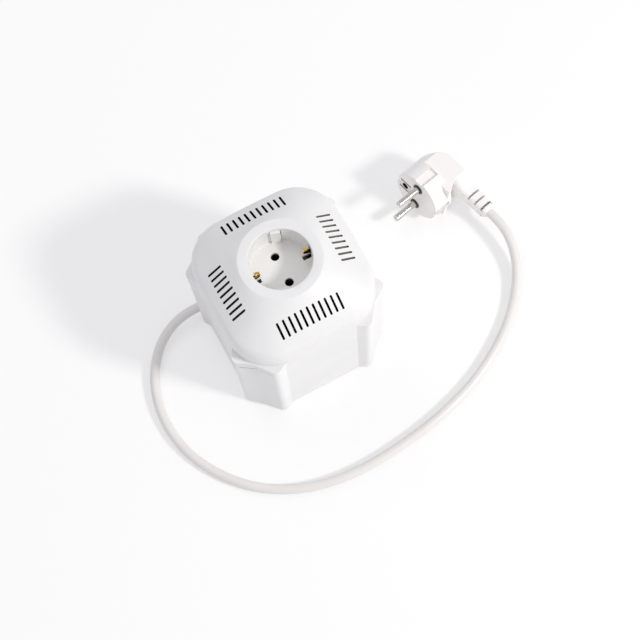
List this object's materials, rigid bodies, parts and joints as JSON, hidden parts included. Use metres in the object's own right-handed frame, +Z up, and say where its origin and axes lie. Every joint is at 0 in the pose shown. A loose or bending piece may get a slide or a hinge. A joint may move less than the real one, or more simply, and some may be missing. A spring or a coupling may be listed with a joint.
{
  "type": "voltage stabilizer",
  "caption": "Compact white mains voltage stabilizer with a recessed earthed socket on its domed top and a short captive lead ending in an angled earthed plug.",
  "frame": {"origin": "middle of the tower's base, on the plane its feet stand on", "axes": "+Z up through the socket, -Y out of the front face, +X to the right of somebody facing the front"},
  "size_m": [0.2666, 0.1708, 0.119],
  "materials": {
    "white_shell": "fine matt moulded white plastic",
    "warm_white_insert": "smooth warm white plastic",
    "grey_carrier": "grey heat-resistant plastic",
    "brass": "plain brass",
    "sprung_metal": "nickel-plated spring brass",
    "steel_screws": "zinc-plated",
    "grey_rubber": "matt",
    "lamination_steel": "stacked sheets, varnished edges",
    "bobbin_plastic": "black moulded plastic",
    "winding_tape": "yellow tape over copper wire",
    "plated_band": "plated strip",
    "board_laminate": "green solder mask",
    "relay_blue": "moulded case",
    "capacitor_sleeve": "shrink sleeve",
    "chip_black": "moulded package",
    "terminal_green": "moulded",
    "fuse_glass": "clear tube",
    "cord_white": "smooth white sheath",
    "plug_white": "soft white moulding",
    "nickel_pin": "nickel-plated",
    "dark_collar": "dark moulded ring"
  },
  "bodies": {
    "stabilizer": {"board_screws": "steel_screws", "bobbin": "bobbin_plastic", "circuit_board": "board_laminate", "clip_screw": "steel_screws", "contact_carrier": "grey_carrier", "control_chip": "chip_black", "cord_bush": "cord_white", "cord_clip": "bobbin_plastic", "cord_lead_in": "cord_white", "cover_screws": "steel_screws", "earth_bridge": "sprung_metal", "feet": "grey_rubber", "filter_capacitor": "capacitor_sleeve", "fuse": "fuse_glass", "fuse_clips": "sprung_metal", "housing": "white_shell", "line_contact": "brass", "mains_cord": "cord_white", "neutral_contact": "brass", "plug_body": "plug_white", "plug_collars": "dark_collar", "plug_earth_clips": "nickel_pin", "plug_earth_socket": "nickel_pin", "plug_pin_1": "nickel_pin", "plug_pin_2": "nickel_pin", "plug_strain_relief": "plug_white", "relay_1": "relay_blue", "relay_2": "relay_blue", "relay_3": "relay_blue", "socket_insert": "warm_white_insert", "socket_screws": "steel_screws", "terminal_block": "terminal_green", "top_cover": "white_shell", "transformer_band": "plated_band", "transformer_core": "lamination_steel", "transformer_screws": "steel_screws", "winding": "winding_tape"},
    "right_earth_spring": {"earth_contact_right": "sprung_metal"},
    "left_earth_spring": {"earth_contact_left": "sprung_metal"}
  },
  "joints": [
    {"name": "right_earth_flex", "type": "hinge", "parent": "stabilizer", "child": "right_earth_spring", "pos_m": [0.0202, 0, 0.0787], "axis": [0, 1, 0], "range_deg": [0, 6], "stiffness_Nm_per_rad": 0.9},
    {"name": "left_earth_flex", "type": "hinge", "parent": "stabilizer", "child": "left_earth_spring", "pos_m": [-0.0202, 0, 0.0787], "axis": [0, -1, 0], "range_deg": [0, 6], "stiffness_Nm_per_rad": 0.9}
  ]
}
